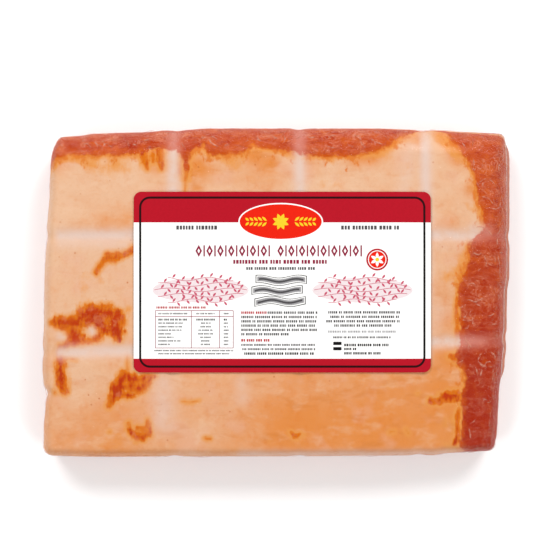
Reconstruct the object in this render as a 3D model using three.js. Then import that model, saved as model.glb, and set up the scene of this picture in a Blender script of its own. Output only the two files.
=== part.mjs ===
// A slab of smoked pancetta, vacuum-packed in clear film, with a printed paper label on its fat side.
// Millimetres, +Z up. The slab lies on its lean side, label up. +X runs along the slab, and +Y points to
// the long side that the label's top edge faces. The origin is under the middle of the slab, on its base.
import * as THREE from "three";

// Driving dimensions of the packed slab.
const LENGTH = 289;
const WIDTH = 204.5;
const THICKNESS = 42;
const HALF_LENGTH = LENGTH / 2;
const HALF_WIDTH = WIDTH / 2;

// How far each side's rounding reaches in from the outline. The far side was cut on a slant, so it reaches most.
const ROUND = { left: 8, right: 12, near: 7, far: 17 };
const ROUND_UP = 20;
const ROUND_DOWN = 10;
// How square each corner is in plan: 2 is an arc, and more is squarer.
const CORNER = { nearLeft: 2.2, nearRight: 3.5, farLeft: 2, farRight: 6 };

// The smoking rack's rods pressed shallow grooves into the slab.
const ROD_PITCH_X = 77;
const ROD_X = [-62, -62 + ROD_PITCH_X, -62 + 2 * ROD_PITCH_X];
const ROD_PITCH_Y = 68;
const ROD_Y = [35, 35 - ROD_PITCH_Y];
const ROD_HALF_WIDTH = 4;
const GROOVE_DEPTH = 0.8;
// Down the sides the grooves fade out between these heights.
const GROOVE_FADE = [6, 18];
// The second cross rod lay a little askew.
const ASKEW_SLOPE = 0.028;
const ASKEW_REACH = 25;

// How far each edge of the slab lies inside its rectangle: [place along the edge, inset].
const LEFT_INSET = [
  [-98, 0.6], [-85, 0.6], [-69, 1.8], [-61.5, 3.1], [-54, 0.6], [-45, 0], [-32, 0], [-16, 1], [6, 1.2], [35, 2.5],
  [65, 4.3], [98, 5.4],
];
const RIGHT_INSET = [
  [-98, 7.2], [-90, 6], [-82, 5.5], [-65, 4.8], [-50, 3.2], [-36, 1.8], [-3, 1.6], [12, 0], [84, 0], [98, 0.6],
];
const NEAR_INSET = [
  [-140, 0.6], [-115, 0], [-60, 0.3], [10, 0.4], [75, 0.9], [100, 1], [112, 2.2], [138, 3.1],
];
const FAR_INSET = [
  [-140, 5.2], [-128, 4.6], [-115, 3.1], [-90, 2.4], [-60, 0.9], [-40, 0], [60, 0], [100, 1], [120, 2], [140, 2.8],
];

// The slab is thinner towards the trimmed right end and the far side, and its top rolls a little.
const DROP_RIGHT = 7;
const DROP_RIGHT_FROM = 70;
const DROP_LEFT = 2.5;
const DROP_FAR = 3;
const DROP_NEAR = 1.5;
const DROP_POWER = 3;
const ROLL = 0.5;
const ROLL_LENGTH_X = 31;
const ROLL_LENGTH_Y = 23;
// A scrap of fat is missing at the left, and leaves a shallow hollow.
const HOLLOW = { x: -114, y: -22, halfX: 13, halfY: 8, depth: 1.6 };

// The bag's welded end is shrunk to a low ridge along the right side.
const SEAL_HEIGHT = 19;
const SEAL_HALF_THICK = 1;
const SEAL_STAND = 2.4;
const SEAL_RUN = [-60, 99];
const SEAL_FADE = 10;

// The label.
const LABEL = { x: 4.5, y: 6.5, length: 181, width: 110, corner: 4.5, thick: 0.3, gap: 0.3 };

// How finely the surfaces are divided.
const STEP = 11;
const GROOVE_OFFSETS = [-9, -4.2, 0, 4.2, 9];
const CLEAR_OF_GROOVE = 12;
const ROUND_TANGENTS = [45, 30, 15].map((degrees) => Math.tan(THREE.MathUtils.degToRad(degrees)));
const SIDE_ROWS = [14, SEAL_HEIGHT - SEAL_HALF_THICK, SEAL_HEIGHT, SEAL_HEIGHT + SEAL_HALF_THICK];
const LABEL_COLUMNS = 18;
const LABEL_ROWS = 8;
const LABEL_ARC_ROWS = 3;

const clamp = THREE.MathUtils.clamp;
const smoothstep = THREE.MathUtils.smoothstep;

// A smooth line through [place, value] pairs, level past both ends.
function along(pairs, place) {
  const last = pairs.length - 1;
  if (place <= pairs[0][0]) return pairs[0][1];
  if (place >= pairs[last][0]) return pairs[last][1];
  const i = pairs.findIndex(([p]) => p > place) - 1;
  const share = smoothstep(place, pairs[i][0], pairs[i + 1][0]);
  return THREE.MathUtils.lerp(pairs[i][1], pairs[i + 1][1], share);
}

// How deep the rods' grooves are at a place, before they fade down the sides.
function groove(x, y) {
  const across = (d) => Math.exp(-((d / ROD_HALF_WIDTH) ** 2));
  const down = Math.max(...ROD_X.map((rod) => across(x - rod)));
  const cross = Math.max(...ROD_Y.map((rod) => across(y - rod)));
  return GROOVE_DEPTH * Math.max(down, cross);
}

// The height of the slab's top over a place, without grooves or the hollow.
function topHeight(x, y) {
  const u = x / HALF_LENGTH;
  const v = y / HALF_WIDTH;
  const right = DROP_RIGHT * smoothstep(x, DROP_RIGHT_FROM, HALF_LENGTH);
  const left = DROP_LEFT * Math.max(0, -u) ** DROP_POWER;
  const far = DROP_FAR * Math.max(0, v) ** DROP_POWER;
  const near = DROP_NEAR * Math.max(0, -v) ** DROP_POWER;
  const roll = ROLL * Math.sin(x / ROLL_LENGTH_X) * Math.cos(y / ROLL_LENGTH_Y);
  return THICKNESS - ROLL + roll - right - left - far - near;
}

function hollow(x, y) {
  const distance = Math.hypot((x - HOLLOW.x) / HOLLOW.halfX, (y - HOLLOW.y) / HOLLOW.halfY);
  return HOLLOW.depth * Math.exp(-(distance ** 2));
}

// Which corner of the slab a place belongs to, as that corner's squareness.
function cornerPower(x, y) {
  if (y < 0) return x < 0 ? CORNER.nearLeft : CORNER.nearRight;
  return x < 0 ? CORNER.farLeft : CORNER.farRight;
}

// Moves a point of the plain box's surface to the rounded slab. Gives the point and the way out of the slab there.
function rounded(x, y, z) {
  const reachX = x < 0 ? ROUND.left : ROUND.right;
  const reachY = y < 0 ? ROUND.near : ROUND.far;
  const coreX = clamp(x, -HALF_LENGTH + ROUND.left, HALF_LENGTH - ROUND.right);
  const coreY = clamp(y, -HALF_WIDTH + ROUND.near, HALF_WIDTH - ROUND.far);
  const coreZ = clamp(z, ROUND_DOWN, THICKNESS - ROUND_UP);
  const reachZ = z < coreZ ? ROUND_DOWN : ROUND_UP;
  const away = new THREE.Vector3((x - coreX) / reachX, (y - coreY) / reachY, (z - coreZ) / reachZ);
  const power = cornerPower(x, y);
  const plan = (Math.abs(away.x) ** power + Math.abs(away.y) ** power) ** (1 / power);
  away.divideScalar(Math.hypot(plan, away.z));
  const point = new THREE.Vector3(
    coreX + reachX * away.x,
    coreY + reachY * away.y,
    coreZ + reachZ * away.z,
  );
  return { point, out: away.normalize() };
}

// The low ridge of the bag's welded end, which stands out of the right side.
function sealRidge(y, z) {
  const up = Math.max(0, 1 - Math.abs(z - SEAL_HEIGHT) / SEAL_HALF_THICK);
  const [start, end] = SEAL_RUN;
  const run = smoothstep(y, start, start + SEAL_FADE) * (1 - smoothstep(y, end - SEAL_FADE, end));
  return SEAL_STAND * up * run;
}

// Moves a point of the plain box's surface to the packed slab's surface.
function onSlab(x, y, z) {
  const { point, out } = rounded(x, y, z);
  const fade = smoothstep(point.z, ...GROOVE_FADE);
  point.addScaledVector(out, -fade * groove(point.x, point.y));
  point.z *= topHeight(point.x, point.y) / THICKNESS;
  if (z === THICKNESS) point.z -= hollow(point.x, point.y);
  if (x === HALF_LENGTH) point.x += sealRidge(y, z);
  const left = Math.max(0, -x / HALF_LENGTH) ** 2;
  const right = Math.max(0, x / HALF_LENGTH) ** 2;
  const near = Math.max(0, -y / HALF_WIDTH) ** 2;
  const far = Math.max(0, y / HALF_WIDTH) ** 2;
  const askew = ASKEW_SLOPE * x * Math.exp(-(((y - ROD_Y[1]) / ASKEW_REACH) ** 2));
  return new THREE.Vector3(
    point.x + left * along(LEFT_INSET, y) - right * along(RIGHT_INSET, y),
    point.y + near * along(NEAR_INSET, x) - far * along(FAR_INSET, x) + askew,
    point.z,
  );
}

// Grid lines across the box: close together where the edges round over and in the grooves.
function gridLines(half, roundLow, roundHigh, rods) {
  const low = -half + roundLow;
  const high = half - roundHigh;
  const lines = ROUND_TANGENTS.flatMap((t) => [low - roundLow * t, high + roundHigh * t]);
  lines.push(...rods.flatMap((rod) => GROOVE_OFFSETS.map((offset) => rod + offset)));
  const steps = Math.round((high - low) / STEP);
  for (let i = 0; i <= steps; i++) {
    const line = low + ((high - low) * i) / steps;
    const end = i === 0 || i === steps;
    if (end || rods.every((rod) => Math.abs(line - rod) > CLEAR_OF_GROOVE)) lines.push(line);
  }
  return lines.sort((a, b) => a - b);
}

function heightLines() {
  const below = ROUND_TANGENTS.map((t) => ROUND_DOWN * (1 - t));
  const above = ROUND_TANGENTS.map((t) => THICKNESS - ROUND_UP * (1 - t));
  return [...below, ROUND_DOWN, ...SIDE_ROWS, THICKNESS - ROUND_UP, ...above.reverse()];
}

// The closed surface of the packed slab: a grid on each face of the box, and one flat polygon for the base.
function slabGeometry() {
  const xs = gridLines(HALF_LENGTH, ROUND.left, ROUND.right, ROD_X);
  const ys = gridLines(HALF_WIDTH, ROUND.near, ROUND.far, ROD_Y);
  const zs = heightLines();
  const [nx, ny, nz] = [xs, ys, zs].map((lines) => lines.length - 1);
  const rim = ROUND_TANGENTS.length;
  const positions = [];
  const index = [];
  const known = new Map();
  const vertex = (i, j, k) => {
    const key = `${i},${j},${k}`;
    if (!known.has(key)) {
      known.set(key, positions.length / 3);
      positions.push(...onSlab(xs[i], ys[j], zs[k]).toArray());
    }
    return known.get(key);
  };
  const quad = (a, b, c, d) => index.push(a, b, c, a, c, d);
  for (let i = 0; i < nx; i++)
    for (let j = 0; j < ny; j++) {
      quad(vertex(i, j, nz), vertex(i + 1, j, nz), vertex(i + 1, j + 1, nz), vertex(i, j + 1, nz));
      const onFlat = i >= rim && i < nx - rim && j >= rim && j < ny - rim;
      if (!onFlat) quad(vertex(i, j, 0), vertex(i, j + 1, 0), vertex(i + 1, j + 1, 0), vertex(i + 1, j, 0));
    }
  for (let k = 0; k < nz; k++) {
    for (let i = 0; i < nx; i++) {
      quad(vertex(i, 0, k), vertex(i + 1, 0, k), vertex(i + 1, 0, k + 1), vertex(i, 0, k + 1));
      quad(vertex(i + 1, ny, k), vertex(i, ny, k), vertex(i, ny, k + 1), vertex(i + 1, ny, k + 1));
    }
    for (let j = 0; j < ny; j++) {
      quad(vertex(0, j + 1, k), vertex(0, j, k), vertex(0, j, k + 1), vertex(0, j + 1, k + 1));
      quad(vertex(nx, j, k), vertex(nx, j + 1, k), vertex(nx, j + 1, k + 1), vertex(nx, j, k + 1));
    }
  }
  // The base polygon runs round the flat stretch, and its triangles face down.
  const ring = [];
  for (let i = rim; i < nx - rim; i++) ring.push(vertex(i, rim, 0));
  for (let j = rim; j < ny - rim; j++) ring.push(vertex(nx - rim, j, 0));
  for (let i = nx - rim; i > rim; i--) ring.push(vertex(i, ny - rim, 0));
  for (let j = ny - rim; j > rim; j--) ring.push(vertex(rim, j, 0));
  const contour = ring.map((v) => new THREE.Vector2(positions[3 * v], positions[3 * v + 1]));
  for (const [a, b, c] of THREE.ShapeUtils.triangulateShape(contour, [])) index.push(ring[a], ring[c], ring[b]);
  const geometry = new THREE.BufferGeometry();
  geometry.setAttribute("position", new THREE.Float32BufferAttribute(positions, 3));
  geometry.setIndex(index);
  return geometry;
}

// The label's rows, from its near edge to its far edge: each row's place and its half length at the round corners.
function labelRows() {
  const straight = LABEL.width / 2 - LABEL.corner;
  const arc = [];
  for (let i = 1; i <= LABEL_ARC_ROWS; i++) {
    const angle = (Math.PI / 2) * (i / LABEL_ARC_ROWS);
    arc.push({
      y: straight + LABEL.corner * Math.sin(angle),
      half: LABEL.length / 2 - LABEL.corner * (1 - Math.cos(angle)),
    });
  }
  const middle = [];
  for (let i = 0; i <= LABEL_ROWS; i++)
    middle.push({ y: straight * ((2 * i) / LABEL_ROWS - 1), half: LABEL.length / 2 });
  return [...arc.map(({ y, half }) => ({ y: -y, half })).reverse(), ...middle, ...arc];
}

// The label is a thin sheet that follows the slab's top, and bridges the grooves.
function labelGeometry() {
  const rows = labelRows();
  const columns = LABEL_COLUMNS + 1;
  const positions = [];
  for (const lift of [LABEL.gap, LABEL.gap + LABEL.thick])
    for (const { y, half } of rows)
      for (let i = 0; i < columns; i++) {
        const x = LABEL.x + half * ((2 * i) / LABEL_COLUMNS - 1);
        positions.push(x, LABEL.y + y, topHeight(x, LABEL.y + y) + lift);
      }
  const perFace = rows.length * columns;
  const vertex = (face, row, column) => face * perFace + row * columns + column;
  const index = [];
  const quad = (a, b, c, d) => index.push(a, b, c, a, c, d);
  const lastRow = rows.length - 1;
  for (let r = 0; r < lastRow; r++) {
    for (let c = 0; c < LABEL_COLUMNS; c++) {
      quad(vertex(1, r, c), vertex(1, r, c + 1), vertex(1, r + 1, c + 1), vertex(1, r + 1, c));
      quad(vertex(0, r, c), vertex(0, r + 1, c), vertex(0, r + 1, c + 1), vertex(0, r, c + 1));
    }
    quad(vertex(0, r + 1, 0), vertex(0, r, 0), vertex(1, r, 0), vertex(1, r + 1, 0));
    const end = LABEL_COLUMNS;
    quad(vertex(0, r, end), vertex(0, r + 1, end), vertex(1, r + 1, end), vertex(1, r, end));
  }
  for (let c = 0; c < LABEL_COLUMNS; c++) {
    quad(vertex(0, 0, c), vertex(0, 0, c + 1), vertex(1, 0, c + 1), vertex(1, 0, c));
    quad(vertex(0, lastRow, c + 1), vertex(0, lastRow, c), vertex(1, lastRow, c), vertex(1, lastRow, c + 1));
  }
  const geometry = new THREE.BufferGeometry();
  geometry.setAttribute("position", new THREE.Float32BufferAttribute(positions, 3));
  geometry.setIndex(index);
  return geometry;
}

function named(name, geometry, material) {
  geometry.computeVertexNormals();
  const mesh = new THREE.Mesh(geometry, new THREE.MeshStandardMaterial(material));
  mesh.name = name;
  return mesh;
}

const pack = named("pack", slabGeometry(), { color: 0xeab488, roughness: 0.25, metalness: 0 });
const label = named("label", labelGeometry(), { color: 0xfbf9f6, roughness: 0.5, metalness: 0 });

// The group's origin goes under the middle of the slab, on its base.
const box = new THREE.Box3().setFromObject(pack);
const middle = box.getCenter(new THREE.Vector3());
for (const mesh of [pack, label]) mesh.position.set(-middle.x, -middle.y, -box.min.z);

const part = new THREE.Group();
part.add(pack, label);
export default part;
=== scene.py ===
"""A vacuum-packed slab of smoked pancetta with a printed paper label, lying flat and seen from straight above.

The slab's surface is the solid's own, worked out again here from the same named sizes on a finer grid. The fat
cap, the lean and the rack's marks are fields over that surface, and the materials draw their edges with noise.
Sizes are in millimetres, in the slab's own frame, until a mesh is made. Then they are in metres.
"""

import math

import bpy
import numpy as np
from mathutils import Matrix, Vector, noise
from mathutils.bvhtree import BVHTree
from mathutils.geometry import delaunay_2d_cdt


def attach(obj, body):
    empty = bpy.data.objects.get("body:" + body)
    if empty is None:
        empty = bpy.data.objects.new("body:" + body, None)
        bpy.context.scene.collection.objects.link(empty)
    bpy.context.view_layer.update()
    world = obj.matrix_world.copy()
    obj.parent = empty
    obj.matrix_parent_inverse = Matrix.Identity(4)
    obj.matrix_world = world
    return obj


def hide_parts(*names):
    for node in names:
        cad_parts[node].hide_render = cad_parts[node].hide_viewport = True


MM = 0.001

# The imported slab, as in the solid.
HALF_LENGTH = 289 / 2
HALF_WIDTH = 204.5 / 2
THICKNESS = 42.0
ROUND = {"left": 8, "right": 12, "near": 7, "far": 17}
ROUND_UP = 20
ROUND_DOWN = 10
CORNER = {"near_left": 2.2, "near_right": 3.5, "far_left": 2, "far_right": 6}
ROD_PITCH_X = 77
ROD_X = [-62, -62 + ROD_PITCH_X, -62 + 2 * ROD_PITCH_X]
ROD_PITCH_Y = 68
ROD_Y = [35, 35 - ROD_PITCH_Y]
ROD_HALF_WIDTH = 4
GROOVE_DEPTH = 0.8
GROOVE_FADE = (6, 18)
ASKEW_SLOPE = 0.028
ASKEW_REACH = 25
LEFT_INSET = [
    (-98, 0.6), (-85, 0.6), (-69, 1.8), (-61.5, 3.1), (-54, 0.6), (-45, 0), (-32, 0), (-16, 1), (6, 1.2),
    (35, 2.5), (65, 4.3), (98, 5.4),
]
RIGHT_INSET = [
    (-98, 7.2), (-90, 6), (-82, 5.5), (-65, 4.8), (-50, 3.2), (-36, 1.8), (-3, 1.6), (12, 0), (84, 0), (98, 0.6),
]
NEAR_INSET = [(-140, 0.6), (-115, 0), (-60, 0.3), (10, 0.4), (75, 0.9), (100, 1), (112, 2.2), (138, 3.1)]
FAR_INSET = [
    (-140, 5.2), (-128, 4.6), (-115, 3.1), (-90, 2.4), (-60, 0.9), (-40, 0), (60, 0), (100, 1), (120, 2),
    (140, 2.8),
]
DROP_RIGHT = 7
DROP_RIGHT_FROM = 70
DROP_LEFT = 2.5
DROP_FAR = 3
DROP_NEAR = 1.5
DROP_POWER = 3
ROLL = 0.5
ROLL_LENGTH_X = 31
ROLL_LENGTH_Y = 23
HOLLOW = {"x": -114, "y": -22, "half_x": 13, "half_y": 8, "depth": 1.6}
SEAL_HEIGHT = 19
SEAL_HALF_THICK = 1
SEAL_STAND = 2.4
SEAL_RUN = (-60, 99)
SEAL_FADE = 10
LABEL = {"x": 4.5, "y": 6.5, "length": 181, "width": 110, "corner": 4.5, "thick": 0.3, "gap": 0.3}

# How finely the slab and its film are divided.
STEP = 1.45
EDGE_STEP = 1.6
SEAL_STEP = 0.3

# The meat lies this far inside the film, and loose film lifts off by this much more. Towards its welded end the
# film is a little hazy.
FILM_GAP = 0.35
FILM_LIFT = 0.22
HAZE = 0.14
HAZE_FROM = (131, 142)

# Where lean shows on the top, outlined past the slab's edge: along the far side, and along the right end.
FAR_LEAN = [
    (-160, 72), (-144, 77), (-137, 80), (-131, 83.5), (-122, 85), (-110, 84), (-104, 85), (-95, 84.2), (-84, 85),
    (-80, 87.5), (-75, 86.5), (-71, 88.5), (-66, 88), (-60, 87), (-56.5, 83), (-55.3, 75), (-53.4, 73), (-52, 84),
    (-49, 88), (-45.5, 89), (-43.5, 92), (-41.5, 86), (-38, 83.8), (-30, 84.4), (-22, 85), (-17, 87), (-13.5, 90.5),
    (-9, 88.5), (0, 87.5), (9.3, 86.5), (15, 85), (19, 83.5), (27.5, 84), (36, 83), (46, 83.5), (55, 85), (64, 87.5),
    (71, 92), (77, 96), (84, 99), (88, 108), (88, 130), (-160, 130),
]
RIGHT_LEAN = [
    (105, 112), (106, 101), (109, 94), (113, 88.5), (117, 83), (120, 77), (123, 70), (124, 62), (126, 54), (128, 46),
    (128, 41), (125.5, 36.5), (122.5, 33.5), (119.5, 31.5), (118.5, 27), (118.5, 18), (116.5, 12), (113.5, 6), (112, 0),
    (112.3, -6), (113, -13), (113.5, -20), (114, -27), (113, -31), (110.8, -36), (110.5, -40), (112, -44), (115.5, -47),
    (117, -52), (116, -57), (114, -61), (114.5, -66), (114.5, -72), (113.8, -78), (114.8, -83), (114, -88),
    (113.5, -92), (115, -96), (117, -100), (120, -112), (170, -112), (170, 112),
]
# Where lean and smoke show through thin fat: strokes of (x, y, half width). They reach this far round, and don't
# show below this height.
STAIN_REACH = 12.0
STAINS_ABOVE = 18
STAINS = [
    [(-109.3, 12.5, 1.5), (-106.5, 16.5, 1.8), (-103, 20.5, 2.3), (-97, 21.2, 2.4), (-91, 23.5, 2), (-85, 27.5, 2)],
    [(-102.5, 23.2, 1.9), (-95, 23.6, 1.9)],
    [(-136.5, -18, 1.6), (-132, -18, 3.8), (-126, -18.6, 4.6), (-119.5, -18, 5)],
    [(-116, -11.5, 4.4), (-115, -14, 4.6)],
    [(-114.5, -12.2, 5.2), (-108, -12.4, 5.6), (-100.5, -12.6, 5.6), (-97, -14, 5)],
    [(-115, -17, 4.4), (-106, -18.8, 5.6), (-104.4, -22.6, 4.6)], [(-98, -17, 5.6), (-96.6, -23, 4.8), (-95.4, -28, 3)],
    [(-93.5, -15.5, 3.2), (-92.5, -19, 1.8)], [(-89.2, -9.8, 0.7)],
    [(-123, -23, 4.6), (-122, -27, 4.8), (-117.5, -28.6, 3.8)],
    [(-131, -33, 2.2), (-126, -31.3, 2.8), (-118.5, -29.4, 3.2), (-111, -28.8, 2.6), (-106.5, -25.6, 2.8)],
    [(-130.8, -34.5, 2.2), (-131, -39.5, 2.6), (-130.5, -47, 3.6), (-130, -54.5, 3.6), (-128.7, -60.5, 2.7)],
    [(-127.5, -39.5, 0.9), (-121.5, -40.8, 0.6)], [(-134.7, -61, 1.2)],
    [(-89.8, -36, 0.5), (-89.8, -42, 0.6), (-89.8, -48, 0.9)],
    [(-91.5, -50, 3.6), (-96, -58, 4.8), (-98.5, -63.5, 3.6), (-101.5, -69.5, 1.8)],
    [(-89, -52, 3.4), (-83, -52.3, 3.2), (-77, -51.3, 2.2), (-72.5, -51, 1.2)],
    [(-89, -57, 3.6), (-84, -58.5, 4), (-80, -57, 3.2), (-78, -54.5, 2.4)], [(-93, -62.5, 2.8), (-86, -62.3, 2)],
    [(-89.5, -79.5, 1.3), (-88.4, -83.5, 2.3), (-85.8, -86.8, 2.6)],
    [(-85.5, -87.2, 2.8), (-81, -88, 2.8), (-78, -86.2, 2.5)],
    [(-77.8, -77.3, 1.2), (-77.4, -82, 2.4), (-76.4, -86, 2.2)], [(-84.9, -90.8, 0.6)],
    [(-84, -82.6, 1.7), (-80, -82.8, 1.5)], [(-100.8, -84.7, 0.8)],
    [(-57, -66, 0.3), (-52, -67, 0.5), (-46, -65.5, 0.3)], [(-42.5, -88.5, 1.1), (-40, -89, 1.1)],
    [(9.5, -84.5, 0.8), (12.4, -87.6, 1.9), (15.5, -86, 0.8)], [(17.4, -87, 0.6)], [(70, -85, 0.9), (73, -84.6, 0.4)],
    [(79.5, -83, 0.5), (81.5, -86, 0.6)], [(87.2, -61, 0.7)],
    [(95, -66, 2.2), (100, -66.5, 2.6), (105.5, -63.2, 4.2), (111.5, -63, 4)], [(107, -38.6, 1.8), (110, -39.8, 2.8)],
    [(112.5, -71, 1.4), (112, -77, 2.2), (111.6, -83, 1.6), (112, -88, 2.2), (110, -92, 2.4)],
    [(111.6, -3, 1.6), (111.3, -12, 1.6), (111.6, -22, 2), (111.8, -29, 1.4)],
    [(-81, 86, 2.6), (-79.3, 80, 2.2), (-77.8, 75.5, 1)], [(-74.6, 86, 1.8), (-74.2, 80.5, 1.3)],
    [(-70.5, 87, 2.8), (-69.6, 80, 2.6), (-69.2, 75, 1.1)], [(-54, 78, 2.2), (-54.3, 70, 1.1), (-55, 62, 0.5)],
]
# The spot in the middle of the largest patch that is kept clear of stain, for a painted glint of the film over the
# hollow.
HOLLOW_GLINT = {"x": -111.7, "y": -23.4, "half_x": 2.1, "half_y": 2.8}

# Where the marks of the rack's rods start and end, and how far down the sides what is pale reaches.
PALE_DOWN_FROM = (-50, -30)
PALE_ACROSS_FROM = (-137, -131)
PALE_ACROSS_TO = (120, 134)
PALE_ABOVE = (20, 34)
# Other pale stretches of fat: (x, y) to (x, y), half width, strength. The smoke hardly reached most of them. The strip
# along the near edge is a painted highlight where the top starts to round over, and the small spot in the largest patch
# is a painted glint of the film over the hollow.
PALE = [
    ((-130, 31), (-92, 31), 4.5, 0.5),
    ((95, 29), (112, 29), 4, 0.25),
    ((-68, -55), (-68, -80), 7, 0.55),
    ((-20, -54), (-20, -64), 5, 0.4),
    # Painted highlight: a pale strip along the near edge, where the top starts to round over.
    ((-20, -99), (116, -99), 3.2, 0.6),
    ((78, 60), (84, 92), 6, 0.35),
    ((95, -20), (100, -12), 7, 0.35),
    ((-112, -36), (-96, -36), 4, 0.5),
    ((-131.5, -26.6), (-129.5, -27.6), 2.6, 0.6),
    # Painted glint: the film's highlight over the hollow, in the middle of the largest patch.
    ((-112, -22.6), (-111.4, -24.2), 2.2, 0.95),
    ((122, 38), (130, 37), 4.4, 0.9),
]

# Warmer clouds of smoke on the fat, and a few paler ones: x, y, how far each reaches, and its strength.
WARM = [
    (-90, 44, 9, 0.5), (-104, 42, 8, 0.4), (-118, 41, 6, 0.25), (-8, 77, 17, 0.45), (-40, 74, 12, 0.45),
    (14, -84, 16, 0.35), (62, -84, 18, 0.35), (100, 3, 10, 0.3), (106, 40, 9, 0.3), (-100, -93, 20, 0.25),
    (102, -38, 9, 0.3), (87, 96, 5, 1.3), (104, 97, 6, 1.1), (60, 85, 7, 0.9), (50, 82, 6, 0.7), (-49, 76, 7, 1.0),
    (-72, 80, 8, 0.9), (20, 79, 9, 0.4), (12.5, -86, 6, 0.8), (106, -16, 7, 0.4), (103, -64, 7, 0.8),
    (113, -80, 5, 0.8), (109, -39, 5, 0.7), (-48, 62, 5, 0.6), (-13, 85, 6, 0.7), (-2, 79, 6, 0.5),
    (-134, 80, 8, 0.7), (112, 84, 6, 0.9), (121, 64, 5, 0.6), (-46, -78, 26, -0.3), (-120, -52, 16, -0.2),
    (20, 68, 14, -0.15),
]
# Darker stretches of lean: x, y, how far each reaches, and its strength.
DARK = [(-84, 92, 13, 0.3), (-92, 93, 3, 0.7), (-88, 91, 4, 0.4), (12, 92, 8, 0.3), (133, 30, 9, 0.25)]

# Seen from the side: how thick the fat cap grows and how much that varies, how deep down the sides it and the
# seams start, and the seams of fat between the layers of lean.
CAP = 13
CAP_VARY = 2.5
CAP_SIDES = (6, 16)
SEAM_SIDES = (8, 12)
LEAN_REACH = 20
SEAMS = [
    {"height": 20.5, "rise": 3.2, "half": 1.4, "vary": 1.5, "size": 48, "seed": 3.1},
    {"height": 11.5, "rise": 3, "half": 0.7, "vary": 1.6, "size": 38, "seed": 11.7},
    {"height": 1.5, "rise": 5.5, "half": 1.2, "vary": 1.4, "size": 26, "seed": 23.9},
]

# Creases that the film makes over the lean, as points (x, y). Then the usual half width and height of a crease,
# and how many more there are, with their lengths.
CREASES = [
    [(-124, 92), (-120, 88), (-116, 86)], [(-117, 95), (-113, 90), (-111, 87)], [(-111, 96), (-109, 92), (-105, 89)],
    [(-104, 94), (-99, 89)], [(-92, 97), (-89, 91), (-90, 88)], [(-41, 96), (-38, 91), (-34, 89)],
    [(52, 98), (53, 92)], [(58, 97), (61, 93), (66, 91)], [(31, 90), (37, 88), (42, 89)],
    [(136, 83), (139, 86), (137, 88)], [(124, 66), (129, 71), (135, 67), (139, 61)],
    [(126, 59), (131, 58), (134, 54)], [(131, 52), (136, 51), (140, 53), (141, 58)],
    [(123, 40), (127, 41), (131, 38), (134, 34)], [(137, 24), (140, 15), (140, 5)], [(118, 5), (121, 6), (124, 4)],
    [(118, -4), (123, -6), (128, -3)], [(136, -58), (135, -63), (137, -67)], [(134, -72), (132, -80), (133, -86)],
    [(124, -42), (130, -46), (136, -45)],
]
CREASE_HALF_WIDTH = 0.4
CREASE_HEIGHT = 0.2
EDGE_CREASES = 110
EDGE_CREASE_LENGTH = (7, 24)
EDGE_CREASE_HEIGHTS = (4, 34)
LEAN_CREASES = 120
LEAN_CREASE_LENGTH = (2, 7)
CREASE_STATIONS = 9
CREASE_SEED = 17

# How bright the studio's light is on the slab's top, how much light the film's gloss adds, and the least light
# that a base colour keeps under film.
STUDIO_LIGHT = 1.25
FILM_VEIL = 0.01
DARKEST = 0.002

# How deep the fine relief of each surface is, which only shows in its shading.
MEAT_BUMP = 0.2
FILM_BUMP = 0.35
PRINT_BUMP = 0.02

# The label: the picture's pixel at its middle, a pixel's size, and how its print is laid out and divided.
LABEL_PIXEL = (282.15, 282.05)
PIXEL = 0.6078
LABEL_SINK = 0.15
BAND_TOP = 36.3
BAND_BOTTOM = -46.6
LINE_INSET_X = 3.3
LINE_INSET_Y = 2.9
LINE_WIDTH = 1.35
LINE_CORNER = 6.5
RULE = 0.38
ARC_POINTS = 8
LEAF_STEPS = 5
STEM_STEPS = 28
RASHER_STEPS = 24
GRID_STEP = 4.0
GRID_INSET = 2.5
PRINT_SEED = 5

# The picture's camera, over the slab, and how far the studio reaches.
LENS = 100
SENSOR = 36
CAMERA = (0.2, 9.6, 978)
FLOOR_HALF = 2200
FLOOR_GLOW = 0.14
SURROUND_LIGHT = 0.4
# The lamps' distance, height and size are in metres. Each lamp has the way it lies in degrees, and its power.
LAMP_DISTANCE = 2.2
LAMP_HEIGHT = 2.0
LAMP_SIZE = 1.2
LAMPS = [("far_left", 125, 38), ("far_right", 55, 38), ("near_left", 215, 20), ("near_right", -35, 20)]


# --- The slab's surface ---


def smoothstep(value, low, high):
    share = np.clip((value - low) / (high - low), 0, 1)
    return share * share * (3 - 2 * share)


def along(pairs, place):
    """A smooth line through (place, value) pairs, level past both ends."""
    places, values = np.array(pairs, float).T
    i = np.clip(np.searchsorted(places, place, side="right") - 1, 0, len(places) - 2)
    return values[i] + (values[i + 1] - values[i]) * smoothstep(place, places[i], places[i + 1])


def across_rods(place, rods):
    """How near each place is to a rod's middle line: 1 on it, and nearly 0 a rod's width off."""
    return np.max([np.exp(-(((place - rod) / ROD_HALF_WIDTH) ** 2)) for rod in rods], axis=0)


def groove(x, y):
    return GROOVE_DEPTH * np.maximum(across_rods(x, ROD_X), across_rods(y, ROD_Y))


def askew(x, y):
    """How far the nearer cross rod's line leans off its level."""
    return ASKEW_SLOPE * x * np.exp(-(((y - ROD_Y[1]) / ASKEW_REACH) ** 2))


def top_height(x, y):
    """The height of the slab's top over a place, without grooves or the hollow."""
    u, v = x / HALF_LENGTH, y / HALF_WIDTH
    right = DROP_RIGHT * smoothstep(x, DROP_RIGHT_FROM, HALF_LENGTH)
    left = DROP_LEFT * np.maximum(0, -u) ** DROP_POWER
    far = DROP_FAR * np.maximum(0, v) ** DROP_POWER
    near = DROP_NEAR * np.maximum(0, -v) ** DROP_POWER
    roll = ROLL * np.sin(x / ROLL_LENGTH_X) * np.cos(y / ROLL_LENGTH_Y)
    return THICKNESS - ROLL + roll - right - left - far - near


def hollow(x, y):
    distance = np.hypot((x - HOLLOW["x"]) / HOLLOW["half_x"], (y - HOLLOW["y"]) / HOLLOW["half_y"])
    return HOLLOW["depth"] * np.exp(-(distance**2))


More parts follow.
